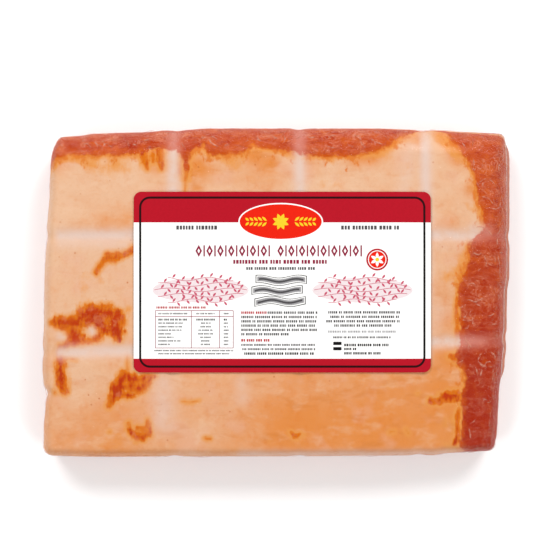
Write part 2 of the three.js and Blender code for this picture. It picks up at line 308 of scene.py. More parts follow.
def corner_power(x, y):
    near = np.where(x < 0, CORNER["near_left"], CORNER["near_right"])
    far = np.where(x < 0, CORNER["far_left"], CORNER["far_right"])
    return np.where(y < 0, near, far)


def rounded(x, y, z):
    """Moves points of the plain box's surface to the rounded slab, and gives the way out of the slab there."""
    reach_x = np.where(x < 0, ROUND["left"], ROUND["right"])
    reach_y = np.where(y < 0, ROUND["near"], ROUND["far"])
    reach = np.column_stack([reach_x, reach_y, np.where(z < ROUND_DOWN, ROUND_DOWN, ROUND_UP)])
    core_x = np.clip(x, -HALF_LENGTH + ROUND["left"], HALF_LENGTH - ROUND["right"])
    core_y = np.clip(y, -HALF_WIDTH + ROUND["near"], HALF_WIDTH - ROUND["far"])
    core = np.column_stack([core_x, core_y, np.clip(z, ROUND_DOWN, THICKNESS - ROUND_UP)])
    away = (np.column_stack([x, y, z]) - core) / reach
    power = corner_power(x, y)
    plan = (np.abs(away[:, 0]) ** power + np.abs(away[:, 1]) ** power) ** (1 / power)
    away /= np.hypot(plan, away[:, 2])[:, None]
    return core + reach * away, away / np.linalg.norm(away, axis=1)[:, None]


def seal_ridge(y, z):
    """The low ridge of the bag's welded end, which stands out of the right side."""
    up = np.maximum(0, 1 - np.abs(z - SEAL_HEIGHT) / SEAL_HALF_THICK)
    start, end = SEAL_RUN
    return SEAL_STAND * up * smoothstep(y, start, start + SEAL_FADE) * (1 - smoothstep(y, end - SEAL_FADE, end))


def on_slab(box_points, with_seal):
    """Moves points of the plain box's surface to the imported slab's surface."""
    x, y, z = box_points.T
    points, out = rounded(x, y, z)
    moved_x, moved_y, moved_z = points.T
    points -= out * (smoothstep(moved_z, *GROOVE_FADE) * groove(moved_x, moved_y))[:, None]
    moved_z *= top_height(moved_x, moved_y) / THICKNESS
    moved_z -= np.where(z == THICKNESS, hollow(moved_x, moved_y), 0)
    if with_seal:
        moved_x += np.where(x == HALF_LENGTH, seal_ridge(y, z), 0)
    left, right = [np.maximum(0, side * x / HALF_LENGTH) ** 2 for side in (-1, 1)]
    near, far = [np.maximum(0, side * y / HALF_WIDTH) ** 2 for side in (-1, 1)]
    moved_x += left * along(LEFT_INSET, y) - right * along(RIGHT_INSET, y)
    moved_y += near * along(NEAR_INSET, x) - far * along(FAR_INSET, x) + askew(x, y)
    return points


# --- The grid that the slab and its film share ---


def lines(low, high, reach_low, reach_high):
    """Places across one side of the box: by equal angles where it rounds over, and by equal steps between."""
    angles_low = np.linspace(math.pi / 4, 0, max(2, round(reach_low / EDGE_STEP)), endpoint=False)
    angles_high = np.linspace(0, math.pi / 4, max(2, round(reach_high / EDGE_STEP)) + 1)[1:]
    inner_low, inner_high = low + reach_low, high - reach_high
    flat = np.linspace(inner_low, inner_high, round((inner_high - inner_low) / STEP) + 1)
    first, last = inner_low - reach_low * np.tan(angles_low), inner_high + reach_high * np.tan(angles_high)
    places = np.concatenate([first, flat, last])
    places[0], places[-1] = low, high
    return places


def box_surface(xs, ys, zs):
    """The points of a grid over the box's surface, and its quads, facing out."""
    shape = (len(xs), len(ys), len(zs))
    places = np.arange(np.prod(shape)).reshape(shape)
    quads = []
    for axis, high in ((2, True), (2, False), (1, False), (1, True), (0, True), (0, False)):
        face = places.take(-1 if high else 0, axis)
        corners = [face[:-1, :-1], face[1:, :-1], face[1:, 1:], face[:-1, 1:]]
        if high == (axis == 1):
            corners[1], corners[3] = corners[3], corners[1]
        quads.append(np.column_stack([corner.ravel() for corner in corners]))
    used, quads = np.unique(np.concatenate(quads), return_inverse=True)
    i, j, k = np.unravel_index(used, shape)
    return np.column_stack([xs[i], ys[j], zs[k]]), quads.reshape(-1, 4)


def slab_grid(around_seal):
    xs = lines(-HALF_LENGTH, HALF_LENGTH, ROUND["left"], ROUND["right"])
    ys = lines(-HALF_WIDTH, HALF_WIDTH, ROUND["near"], ROUND["far"])
    zs = lines(0, THICKNESS, ROUND_DOWN, ROUND_UP)
    if around_seal:
        low, high = SEAL_HEIGHT - SEAL_HALF_THICK, SEAL_HEIGHT + SEAL_HALF_THICK
        apart = zs[(zs < low - SEAL_STEP) | (zs > high + SEAL_STEP)]
        fine = np.linspace(low, high, round((high - low) / SEAL_STEP) + 1)
        zs = np.sort(np.concatenate([apart, fine]))
    return box_surface(xs, ys, zs)


def slab_surface(sealed):
    """The plain box's points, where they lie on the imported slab, its quads, and the way out at each point."""
    box_points, quads = slab_grid(around_seal=sealed)
    points = on_slab(box_points, with_seal=sealed)
    corners = points[quads]
    across = np.cross(corners[:, 2] - corners[:, 0], corners[:, 3] - corners[:, 1])
    out = np.zeros_like(points)
    for corner in range(4):
        np.add.at(out, quads[:, corner], across)
    return box_points, points, quads, out / np.linalg.norm(out, axis=1)[:, None]


def uneven(points, size, seed):
    """Smooth noise from about -1 to 1 at each place, with features of that size."""
    start = Vector((seed, seed / 2, -seed))
    return np.array([noise.noise(Vector(point) / size + start) for point in points])


# --- Fields over the slab ---


def to_segment(x, y, start, end):
    """How far each place lies from a segment, and the share of the way along it of its nearest point."""
    dx, dy = end[0] - start[0], end[1] - start[1]
    share = np.clip(((x - start[0]) * dx + (y - start[1]) * dy) / max(dx * dx + dy * dy, 1e-9), 0, 1)
    return np.hypot(x - start[0] - share * dx, y - start[1] - share * dy), share


def inside(x, y, outline):
    """How far inside a closed outline each place lies. It is negative outside."""
    nearest = np.full(x.shape, np.inf)
    within = np.zeros(x.shape, bool)
    for (ax, ay), (bx, by) in zip(outline, outline[1:] + outline[:1]):
        nearest = np.minimum(nearest, to_segment(x, y, (ax, ay), (bx, by))[0])
        crosses = (ay > y) != (by > y)
        within ^= crosses & (x < ax + (bx - ax) * (y - ay) / ((by - ay) or 1))
    return np.where(within, nearest, -nearest)


def lean_field(points):
    """How far into lean each place of the surface lies, in millimetres. It is negative in fat."""
    x, y, z = points.T
    plan = points * (1, 1, 0)
    shown = np.maximum(inside(x, y, FAR_LEAN), inside(x, y, RIGHT_LEAN))
    depth = top_height(x, y) - z
    cap = np.minimum(-shown, CAP + CAP_VARY * uneven(plan, 30, 7.3))
    field = depth * smoothstep(depth, *CAP_SIDES) - cap
    under = smoothstep(depth, *SEAM_SIDES)
    for seam in SEAMS:
        middle = seam["height"] + seam["rise"] * uneven(plan, seam["size"], seam["seed"])
        half = seam["half"] + seam["vary"] * uneven(plan, seam["size"] / 2, seam["seed"] + 5)
        beside = (np.abs(z - middle) - half) / np.maximum(under, 1e-3)
        field = np.where(under > 0, np.minimum(field, beside), field)
    return np.clip(field, -LEAN_REACH, LEAN_REACH)


def pale_field(points):
    """How pale the fat is: where the rack's rods kept the smoke off, and on other stretches, among them a painted
    highlight along the near edge and a painted glint over the hollow.
    """
    x, y, z = points.T
    down = across_rods(x, ROD_X) * smoothstep(y, *PALE_DOWN_FROM)
    ends = smoothstep(x, *PALE_ACROSS_FROM) * (1 - 0.6 * smoothstep(x, *PALE_ACROSS_TO))
    pale = np.maximum(down, across_rods(y - askew(x, y), ROD_Y) * ends)
    for start, end, half, strength in PALE:
        distance, _ = to_segment(x, y, start, end)
        pale = np.maximum(pale, strength * np.exp(-((distance / half) ** 2)))
    return pale * smoothstep(z, *PALE_ABOVE)


def clouds(x, y, places):
    """The sum of soft round clouds: each by its place, how far it reaches, and its strength."""
    return sum(strength * np.exp(-((x - a) ** 2 + (y - b) ** 2) / reach**2) for a, b, reach, strength in places)


def warmth_field(points):
    """How orange the smoked fat is: least at the far left, and most along the near side and at its right."""
    x, y, z = points.T
    near = smoothstep(-y, -15, 90)
    right = smoothstep(x, -140, 130)
    warm = 0.06 + 0.1 * right + near * (0.45 + 0.4 * right) + 0.12 * smoothstep(THICKNESS - z, 8, 30)
    return warm + clouds(x, y, WARM)


def dusk_field(points):
    """How dark the smoked lean is: it darkens towards the near end and down the sides."""
    x, y, z = points.T
    dusk = smoothstep(-y, -90, 80) * smoothstep(x, 60, 110) + 0.5 * smoothstep(THICKNESS - z, 10, 34)
    return np.clip(dusk + clouds(x, y, DARK), 0, 1)


def stain_field(points):
    """How far inside a stain each place lies, and how ragged the stain's edge is there."""
    x, y, z = points.T
    field, ragged = np.full(x.shape, -STAIN_REACH), np.ones(x.shape)
    for stroke in STAINS:
        for start, end in zip(stroke, stroke[1:] or stroke):
            distance, share = to_segment(x, y, start, end)
            reach = start[2] + share * (end[2] - start[2])
            closer = reach - distance > field
            field = np.where(closer, reach - distance, field)
            ragged = np.where(closer, np.clip(reach / 3.5, 0.15, 1), ragged)
    # The stain stops short of the painted glint over the hollow, so that the glint shows pale.
    pale_and_glint = 1 - np.hypot((x - HOLLOW_GLINT["x"]) / HOLLOW_GLINT["half_x"], (y - HOLLOW_GLINT["y"]) / HOLLOW_GLINT["half_y"])
    field = np.minimum(field, -pale_and_glint * HOLLOW_GLINT["half_x"])
    return np.where(z > STAINS_ABOVE, field, -STAIN_REACH), ragged


# --- Meshes ---


def place_object(name, data):
    made = bpy.data.objects.new(name, data)
    bpy.context.scene.collection.objects.link(made)
    return made


def mesh_piece(name, points, faces, materials, slots=None, smooth=True, fields=None):
    """Makes an object from points in millimetres, in the slab's frame, with values at its points."""
    mesh = bpy.data.meshes.new(name)
    mesh.from_pydata((points + SHIFT) * MM, [], [list(map(int, face)) for face in faces])
    for material in materials:
        mesh.materials.append(material)
    if slots is not None:
        mesh.polygons.foreach_set("material_index", slots)
    mesh.polygons.foreach_set("use_smooth", np.full(len(mesh.polygons), smooth))
    for field, values in (fields or {}).items():
        mesh.attributes.new(field, "FLOAT", "POINT").data.foreach_set("value", values.astype(np.float32))
    mesh.update()
    return place_object(name, mesh)


def make_meat(material):
    _, points, quads, out = slab_surface(sealed=False)
    lean = lean_field(points)
    stain, ragged = stain_field(points)
    relief = 0.12 * uneven(points, 7, 1.5) + 0.1 * uneven(points, 3.5, 8.5)
    relief *= 0.45 + 0.9 * smoothstep(np.maximum(lean, stain), -1, 1)
    inward = FILM_GAP - np.where(points[:, 2] < FILM_GAP, 0, relief)
    fields = {"lean": lean, "stain": stain, "ragged": ragged, "pale": pale_field(points)}
    fields |= {"warmth": warmth_field(points), "dusk": dusk_field(points)}
    return mesh_piece("pancetta_slab", points - out * inward[:, None], quads, [material], fields=fields)


def film_slack(points):
    """How loosely the film lies: most at the slab's edges and corners, and over the lean."""
    x, y, z = points.T
    edge = smoothstep(THICKNESS - z, 3, 14)
    rough = smoothstep(lean_field(points), -1, 2)
    corner = smoothstep(np.hypot(x / HALF_LENGTH, y / HALF_WIDTH), 1.15, 1.38)
    return np.clip(0.15 + 0.4 * edge + 0.45 * rough + 0.5 * corner, 0, 1)


def make_film(material):
    box_points, points, quads, out = slab_surface(sealed=True)
    slack = film_slack(points)
    folds = np.abs(uneven(points * (1, 0.45, 1), 6, 4.4)) + 0.6 * np.abs(uneven(points * (0.5, 1, 1), 4, 9.9))
    lift = FILM_LIFT * slack * (1 - smoothstep(folds, 0, 0.5))
    points = points + out * np.where(points[:, 2] < FILM_GAP, 0, lift)[:, None]
    x, y, z = box_points.T
    ridge = np.where(x == HALF_LENGTH, seal_ridge(y, z), 0) / SEAL_STAND
    haze = HAZE * smoothstep(points[:, 0], *HAZE_FROM) * smoothstep(points[:, 1], *SEAL_RUN)
    milk = np.clip(np.maximum(2.5 * ridge, haze), 0, 1)
    return mesh_piece("clear_film", points, quads, [material], fields={"milk": milk, "slack": slack})


def ribbon(path, film, half_width, height):
    """A crease along a path of points near the film: a low ridge with tapered ends. Gives its points and faces."""
    path = np.array(path, float)
    run = np.concatenate([[0], np.cumsum(np.linalg.norm(np.diff(path, axis=0), axis=1))])
    places = np.linspace(0, run[-1], CREASE_STATIONS)
    middle = np.stack([np.interp(places, run, path[:, axis]) for axis in range(3)], axis=1)
    middle[1:-1] = (middle[:-2] + 2 * middle[1:-1] + middle[2:]) / 4
    points, faces = [], []
    last = CREASE_STATIONS - 1
    for i, place in enumerate(middle):
        spot, normal, _, _ = film.find_nearest(Vector(place))
        ahead = middle[min(i + 1, last)] - middle[max(i - 1, 0)]
        taper = max(0.0, math.sin(math.pi * i / last)) ** 0.6
        side = normal.cross(Vector(ahead)).normalized() * half_width * taper
        points += [spot - side, spot + normal * height * taper, spot + side]
    for a in range(0, 3 * last, 3):
        faces += [(a, a + 1, a + 4, a + 3), (a + 1, a + 2, a + 5, a + 4)]
    return np.array([list(point) for point in points]), faces


def edge_creases(chance):
    """Longer creases round the slab's sides."""
    paths = []
    for _ in range(EDGE_CREASES):
        angle = chance.uniform(0, 2 * math.pi)
        length = chance.uniform(*EDGE_CREASE_LENGTH)
        x = np.clip(1.5 * HALF_LENGTH * math.cos(angle), -HALF_LENGTH, HALF_LENGTH)
        y = np.clip(1.5 * HALF_WIDTH * math.sin(angle), -HALF_WIDTH, HALF_WIDTH)
        start = np.array([x, y, chance.uniform(*EDGE_CREASE_HEIGHTS)])
        run = np.array([-y / HALF_WIDTH, x / HALF_LENGTH, chance.normal(0, 0.6)])
        run *= length / np.linalg.norm(run)
        paths.append([start - run / 2, start + chance.normal(0, 0.08, 3) * length, start + run / 2])
    return paths


def lean_creases(chance):
    """Short bent creases where lean shows on top."""
    paths = []
    while len(paths) < LEAN_CREASES:
        x, y = chance.uniform(-HALF_LENGTH, HALF_LENGTH), chance.uniform(-HALF_WIDTH, HALF_WIDTH)
        place = np.array([x, y, top_height(x, y)])
        if lean_field(place[None])[0] < 1:
            continue
        angle, length = chance.uniform(0, math.pi), chance.uniform(*LEAN_CREASE_LENGTH)
        run = np.array([math.cos(angle), math.sin(angle), 0]) * length / 2
        bend = np.append(chance.normal(0, 0.2, 2) * length, 0)
        paths.append([place - run, place + bend, place + run])
    return paths


def make_creases(film_piece, material):
    """Creases in the film: some over the lean from a given list, and more there and round the sides by a seeded rule.
    """
    vertices = [Vector(np.array(vertex.co) / MM - SHIFT) for vertex in film_piece.data.vertices]
    film = BVHTree.FromPolygons(vertices, [tuple(face.vertices) for face in film_piece.data.polygons])
    chance = np.random.default_rng(CREASE_SEED)
    paths = [[(x, y, top_height(x, y)) for x, y in crease] for crease in CREASES]
    paths += edge_creases(chance) + lean_creases(chance)
    points, faces = [], []
    for path in paths:
        half_width = CREASE_HALF_WIDTH * chance.uniform(0.6, 1.5)
        some_points, some_faces = ribbon(path, film, half_width, CREASE_HEIGHT * chance.uniform(0.6, 1.3))
        faces += [tuple(index + len(points) for index in face) for face in some_faces]
        points += list(some_points)
    return mesh_piece("film_creases", np.array(points), faces, [material])


# --- Materials ---


def colour(red, green, blue):
    """A colour as a picture shows it, from 0 to 255, as light."""
    light = [((c / 255 + 0.055) / 1.055) ** 2.4 if c > 10 else c / 255 / 12.92 for c in (red, green, blue)]
    return (*light, 1.0)


def printed(red, green, blue):
    """The base colour of ink that looks like this one in a picture, in the studio's light."""
    return (*[channel / STUDIO_LIGHT for channel in colour(red, green, blue)[:3]], 1.0)


def packed(red, green, blue):
    """The base colour that looks like this one in a picture, in the studio's light and under the gloss of film."""
    light = [max(DARKEST, (channel - FILM_VEIL) / STUDIO_LIGHT) for channel in colour(red, green, blue)[:3]]
    return (*light, 1.0)


class Wire:
    """What comes out of a node. A sum, difference or product with one adds a node that works it out."""

    def __init__(self, paint, socket):
        self.paint, self.socket = paint, socket

    def __add__(self, other):
        return self.paint.math("ADD", self, other)

    def __sub__(self, other):
        return self.paint.math("SUBTRACT", self, other)

    def __rsub__(self, other):
        return self.paint.math("SUBTRACT", other, self)

    def __mul__(self, other):
        return self.paint.math("MULTIPLY", self, other)

    __radd__, __rmul__ = __add__, __mul__

    def step(self, low, high):
        """Goes smoothly from 0 to 1 as the value goes from low to high."""
        inputs = {"Value": self, "From Min": low, "From Max": high}
        return self.paint.node("ShaderNodeMapRange", "Result", inputs, interpolation_type="SMOOTHSTEP")

    def wander(self, by, noise_value):
        """Moves the value up and down by noise, by up to half of by each way."""
        return self + (noise_value - 0.5) * by


class Paint:
    """Builds a material's nodes. Most methods add one node and give what comes out of it."""

    def __init__(self, name):
        self.material = bpy.data.materials.new(name)
        self.material.use_nodes = True
        self.tree = self.material.node_tree
        self.tree.nodes.clear()
        self.place = self.node("ShaderNodeTexCoord", "Object", {})

    def node(self, kind, out, inputs, **settings):
        """Adds a node, and gives each of its inputs a value or a wire."""
        made = self.tree.nodes.new(kind)
        for key, value in settings.items():
            setattr(made, key, value)
        for key, value in inputs.items():
            if isinstance(value, Wire):
                self.tree.links.new(value.socket, made.inputs[key])
            else:
                made.inputs[key].default_value = value
        return Wire(self, made.outputs[out])

    def field(self, name):
        return self.node("ShaderNodeAttribute", "Fac", {}, attribute_name=name)

    def math(self, operation, a, b=0.0):
        return self.node("ShaderNodeMath", 0, {0: a, 1: b}, operation=operation)

    def noise(self, size, detail=2.0, roughness=0.5, stretch=(1, 1, 1), distortion=0.0):
        """Noise from 0 to 1, with features of that size in millimetres, drawn out by stretch."""
        scale = [1 / (size * MM * s) for s in stretch]
        inputs = {"Vector": self.node("ShaderNodeMapping", 0, {"Vector": self.place, "Scale": scale})}
        inputs |= {"Scale": 1.0, "Detail": detail, "Roughness": roughness, "Distortion": distortion}
        return self.node("ShaderNodeTexNoise", "Fac", inputs)

    def specks(self, size, radius):
        """Scattered round specks of up to that radius, one to a cell of that size, both in millimetres."""
        inputs = {"Vector": self.place, "Scale": 1 / (size * MM)}
        return 1 - self.node("ShaderNodeTexVoronoi", "Distance", inputs).step(0.5 * radius / size, radius / size)

    def veins(self, size, width, *settings):
        """Thin curling lines, where noise passes its middle. Width is a share of the noise's range."""
        return 1 - self.math("ABSOLUTE", self.noise(size, *settings) - 0.5).step(0.0, width)

    def mix(self, share, a, b):
        return self.node("ShaderNodeMix", "Result", {"Factor": share, "A": a, "B": b}, data_type="RGBA")

    def lay(self, base, *layers):
        """Lays colours over a base. A layer is its share, and the colour that a picture shows under film."""
        for share, *shade in layers:
            base = self.mix(share, base, packed(*shade))
        return base

    def bump(self, height, depth):
        """A normal from a height from 0 to 1 that stands for that depth in millimetres."""
        return self.node("ShaderNodeBump", "Normal", {"Strength": 1.0, "Distance": depth * MM, "Height": height})

    def surface(self, base, roughness, **inputs):
        inputs = {name.replace("_", " "): value for name, value in inputs.items()}
        return self.node("ShaderNodeBsdfPrincipled", 0, {"Base Color": base, "Roughness": roughness, **inputs})

    def clear(self):
        return self.node("ShaderNodeBsdfTransparent", 0, {})

    def blend(self, share, a, b):
        return self.node("ShaderNodeMixShader", 0, {0: share, 1: a, 2: b})

    def finish(self, shader):
        output = self.tree.nodes.new("ShaderNodeOutputMaterial")
        self.tree.links.new(shader.socket, output.inputs["Surface"])
        return self.material


def paint_fat(paint, warm, grit):
    """Fat: cream, warmer where smoke settled, with soft clouds, fine mottling and a few pores."""
    clouds = warm.wander(0.5, paint.noise(34)).wander(0.5, paint.noise(11, 3, 0.6))
    pink = paint.noise(17).step(0.52, 0.74)
    amber = paint.noise(5.5, 4, 0.65, (1, 1.5, 1)).step(0.52, 0.76)
    light = paint.noise(9, 3, 0.6, (1.6, 1, 1)).step(0.5, 0.75)
    drawn = paint.noise(7, 4, 0.6, (2.6, 1, 1), 0.6).step(0.5, 0.7)
    pores = paint.specks(6.5, 0.75) * paint.noise(15).step(0.45, 0.6)
    return paint.lay(
        packed(243, 197, 161),
        (clouds.step(-0.15, 1.1), 238, 150, 80),
        (pink * 0.4, 242, 186, 158),
        (amber * (0.15 + 0.45 * warm), 234, 138, 66),
        (light * 0.3, 250, 212, 178),
        (drawn * (0.12 + 0.4 * warm), 224, 136, 66),
        (grit.step(0.5, 0.85) * 0.3, 226, 150, 96),
        (pores * 0.65, 205, 112, 56),
    )


def paint_lean(paint, dusk, grit):
    """Lean: brick red, darker where it was smoked most, with streaks along its grain and thin pale veins."""
    bright = 1 - 0.6 * dusk
    blocks = paint.noise(12, 3, 0.6).step(0.32, 0.68)
    rosy = paint.noise(16, 3, 0.6).step(0.54, 0.72)
    glow = paint.noise(6, 3, 0.6).step(0.52, 0.68)
    streaks = paint.noise(2.8, 4, 0.65, (2.4, 1, 1), 0.8).step(0.5, 0.66)
    veins = paint.veins(5, 0.05, 4, 0.6, (1, 1, 1), 1.5) * paint.noise(9).step(0.5, 0.62)
    strands = paint.veins(8, 0.035, 4, 0.65, (2.4, 1, 1), 1.0)
    return paint.lay(
        packed(196, 72, 34),
        (blocks, 210, 94, 48),
        (dusk * 0.95, 174, 50, 12),
        (rosy * 0.35 * bright, 206, 88, 66),
        (glow * 0.5 * bright, 222, 106, 42),
        (streaks * 0.6, 166, 42, 14),
        (veins * 0.75 * bright, 234, 156, 122),
        (strands * 0.5 * bright, 222, 122, 92),
        (grit.step(0.55, 0.8) * 0.35 * bright, 228, 122, 72),
    )


def paint_stain(paint, depth, grit):
    """Lean seen through thin fat: orange, and red-brown where it lies shallowest."""
    bright = paint.noise(3.4, 3, 0.65, (1, 1.4, 1)).step(0.54, 0.64)
    dark = paint.noise(7.5, 2, 0.5, (1, 1.2, 1)).step(0.52, 0.62)
    rosy = paint.noise(6.5, 3, 0.6).step(0.54, 0.66)
    return paint.lay(
        packed(230, 124, 36),
        (depth.step(0.4, 4.2), 202, 68, 16),
        (bright * 0.55, 234, 132, 40),
        (dark * depth.step(0.8, 3) * 0.75, 190, 56, 20),
        (rosy * 0.5, 226, 128, 88),
        (grit.step(0.5, 0.75) * 0.22, 180, 56, 20),
    )


def meat_material():
    paint = Paint("smoked_pork")
    lean, stain, ragged = paint.field("lean"), paint.field("stain"), paint.field("ragged")
    grit = paint.noise(1.7, 3, 0.6)
    comb = paint.noise(2.1, 3, 0.6, (1, 3.2, 1))
    crumble = paint.noise(4.6, 4, 0.62)
    fat = paint_fat(paint, paint.field("warmth"), grit)

    # Towards the lean the fat thins out and shows orange, in a fringe that is broad here and narrow there.
    # The seams down the sides were cut after the smoking, and stay cream.
    height = paint.node("ShaderNodeSeparateXYZ", "Z", {0: paint.place})
    smoked = 0.22 + 0.78 * height.step(24 * MM, 33 * MM)
    spread = paint.noise(21).step(0.32, 0.68)
    near = (lean * (2.6 - 2.05 * spread)).wander(7.0, crumble).wander(4.0, comb)
    fat = paint.lay(fat, (near.step(-8.5, -2.6) * smoked * 0.9, 240, 160, 84))
    orange = paint.lay(packed(236, 142, 58), (grit.step(0.35, 0.7), 222, 114, 44))
    fat = paint.mix(near.step(-3.4, -0.2) * smoked * 0.95, fat, orange)
    blotches = paint.noise(4.0, 3, 0.6, (1, 1.6, 1)) + 0.028 * lean
    fat = paint.lay(fat, (blotches.step(0.4, 0.54) * smoked * 0.85, 230, 128, 52))

    # Patches of lean show through, with orange rims and edges combed by short fibres.
    rough = (comb - 0.5) * 4.2 + (crumble - 0.5) * 6.0
    reach = stain + rough * ragged
    fat = paint.lay(fat, (reach.step(-2.8, 0.2) * 0.85, 240, 162, 86))
    fat = paint.mix(reach.step(-0.6, 1.0), fat, paint_stain(paint, reach.wander(5.0, comb), grit))

    edge = lean.wander(6.0, crumble).wander(3.4, comb)
    flesh = paint.mix(edge.step(-0.9, 1.1), fat, paint_lean(paint, paint.field("dusk"), grit))
    brim = edge.step(-0.4, 0.6) * (1 - edge.step(1.2, 4.2)) * crumble.step(0.4, 0.6)
    flesh = paint.lay(flesh, (brim * smoked * 0.8, 212, 92, 26))

    # Where the rods lay the fat is pale, and the lean is pinkish. The same pale colour also paints a highlight along
    # the near edge and a glint over the hollow.
    worn = paint.noise(7, 3, 0.6).step(0.2, 0.6)
    pale_and_glint = paint.lay(packed(239, 210, 195), (edge.step(-1.0, 1.0), 220, 140, 124))
    flesh = paint.mix(paint.field("pale") * (0.62 + 0.34 * worn), flesh, pale_and_glint)

    normal = paint.bump(grit * 0.5 + crumble, MEAT_BUMP)
    shader = paint.surface(flesh, 0.4 + 0.2 * grit, Normal=normal, Specular_IOR_Level=0.05)
    return paint.finish(shader)


def film_material():
    """Clear film: light passes straight through, apart from what its gloss mirrors and its milky folds stop. Thin pale
    curling lines where it lies loose are painted glints of its fine wrinkles.
    """
    paint = Paint("clear_film")
    slack, milk = paint.field("slack"), paint.field("milk")
    folds = paint.veins(4.5, 0.16, 3, 0.55, (1, 1, 1), 1.4)
    tight = paint.noise(9)
    normal = paint.bump(folds * slack + tight * 0.25, FILM_BUMP)
    gloss = paint.node("ShaderNodeBsdfGlossy", 0, {"Roughness": 0.13, "Normal": normal})
    fresnel = paint.node("ShaderNodeFresnel", 0, {"IOR": 1.22, "Normal": normal})
    skin = paint.blend(paint.math("MINIMUM", fresnel, 0.1), paint.clear(), gloss)
    fold = paint.surface(colour(214, 138, 112), 0.4, Normal=normal, Specular_IOR_Level=0.25)
    # Painted glints: thin pale curling lines over the loose film, for the light that its fine wrinkles catch.
    wrinkle_glints = paint.veins(3.6, 0.03, 4, 0.6, (1, 1, 1), 1.8) * slack * 0.4 * paint.noise(8).step(0.5, 0.64)
    milk_and_glints = paint.math("MAXIMUM", wrinkle_glints, milk * (0.6 + 0.5 * tight))
    return paint.finish(paint.blend(milk_and_glints, skin, fold))


def crease_glint_material():
    """A fold of film, which is milky, with a pale colour painted on it for the glint of light along it."""
    paint = Paint("film_crease")
    # Painted glint: the pale pinkish colour stands in for the light that the fold catches.
    shine = paint.surface(colour(226, 158, 132), 0.4, Specular_IOR_Level=0.3)
    return paint.finish(paint.blend(paint.noise(3).step(0.25, 0.75) * 0.6, paint.clear(), shine))


def ink_material(name, shade):
    """Ink on coated paper, with the faint unevenness of print."""
    paint = Paint(name)
    darker = (*[channel * 0.9 for channel in shade[:3]], 1.0)
    base = paint.mix(paint.noise(1.4, 3, 0.6).step(0.3, 0.9), shade, darker)
    normal = paint.bump(paint.noise(0.8), PRINT_BUMP)
    return paint.finish(paint.surface(base, 0.42, Normal=normal, Specular_IOR_Level=0.12))


# --- The label and its print ---

INKS = {
    "paper": colour(247, 246, 244),
    "crimson": printed(192, 15, 37),
    "black": printed(14, 12, 13),
    "maroon": printed(44, 3, 8),
    "wine": printed(152, 34, 66),
    "grey": printed(84, 82, 84),
    "pale_grey": printed(168, 166, 168),
    "scarlet": printed(246, 34, 8),
    "yellow": printed(255, 218, 44),
    "pink": printed(253, 236, 238),
    "rose": printed(212, 92, 116),
}

# Where the print lies, in pixels of the photograph: a place is (x, y), a run is a pair of x, and a row is a y.
# Sizes are in millimetres. A line of small print is its ink, start, length, row, and height in millimetres.
BADGE_PLACE = (280.5, 221.5)
BADGE_HALF = (25.8, 11.4)
BADGE_RIM = 0.8
SPRIG_LEAVES = 5
SPRIG_START = 8.5
SPRIG_PITCH = 2.7
FRIEZE_RUNS = [(193, 269), (275, 361)]
FRIEZE_ROW = 250.8
LOZENGE_PITCH = 6.6
LOZENGES = [("wine", 2.0, 3.7), ("paper", 0.8, 1.48)]
FRIEZE_BAR = (0.9, 6.8)
TITLE_LINES = [
    ("grey", 176, 44, 227.5, 4 * PIXEL),
    ("grey", 341, 59, 227.5, 4 * PIXEL),
    ("wine", 233, 94.5, 261.75, 3.92 * PIXEL),
    ("grey", 246, 69, 268.4, 2.88 * PIXEL),
]
STAMP_PLACE = (377, 259.5)
STAMP_RINGS = [("crimson", 6.7), ("paper", 5.6), ("scarlet", 5.1)]
GARLAND_RUNS = [(152, 248.5), (312, 412.6)]
GARLAND_ROW = 288.5
STEM_PITCH = 3.3
RASHERS_PLACE = (278.5, 290.8)
RASHER_PITCH = 6.4
RASHER_SHIFTS = [(1, 1.5), (0, -1.0), (-1, 0.8)]
RASHER_LAYERS = [("black", 2.5, 15.6), ("paper", 2.1, 15.1), ("pale_grey", 1.5, 14.6), ("grey", 0.6, 13.6)]
TABLE_HEADING = (156, 307.5)
TABLE_CORNERS = [(155, 310.6), (233, 348)]
TABLE_RULES = {"row": 316.5, "columns": (191, 219.3)}
TABLE_ROWS = [313.6] + [319.6 + 3.55 * row for row in range(8)]
TABLE_COLUMNS = [(158, 30), (196, 19), (223.5, 5)]
TABLE_LINES = [("grey", 154, 79.5, 350.6, 0.9), ("grey", 158, 72, 353.7, 0.9)]
FIRST_LINE = {"start": 241, "length": 76.5, "row": 312.6, "red": 16, "height": 1.5}
PARAGRAPH_LINES = [
    ("grey", 241, 76.5, 317, 1.5),
    ("grey", 241, 76.5, 321.3, 1.5),
    ("grey", 241, 76.5, 325.6, 1.5),
    ("grey", 241, 76.5, 329.9, 1.5),
    ("grey", 241, 49, 334.2, 1.5),
    ("crimson", 241, 30, 340.3, 1.6),
    ("grey", 241, 74, 344.9, 1.25),
    ("grey", 242, 73, 349.2, 1.25),
    ("black", 244, 70, 353.6, 1.5),
    ("grey", 328, 73, 312.3, 1.5),
    ("grey", 330, 69, 316.8, 1.5),
    ("grey", 326, 76, 321.2, 1.5),
    ("grey", 334, 59, 325.5, 1.5),
    ("pale_grey", 328, 68.5, 331.6, 1.3),
    ("grey", 333, 59, 337.3, 1.2),
    ("black", 344, 47.5, 345, 1.55),
    ("black", 344, 13, 349, 1.4),
    ("black", 344, 38, 353.3, 1.5),
]
BLACK_BOXES = [(337.2, 343.4), (337.2, 348.7)]
BLACK_BOX = {"length": 5.1, "height": 2, "corner": 0.4}


def place_of(px, py):
    """A place on the label, from the picture's pixels about the label's middle, in millimetres."""
    return (px - LABEL_PIXEL[0]) * PIXEL, (LABEL_PIXEL[1] - py) * PIXEL


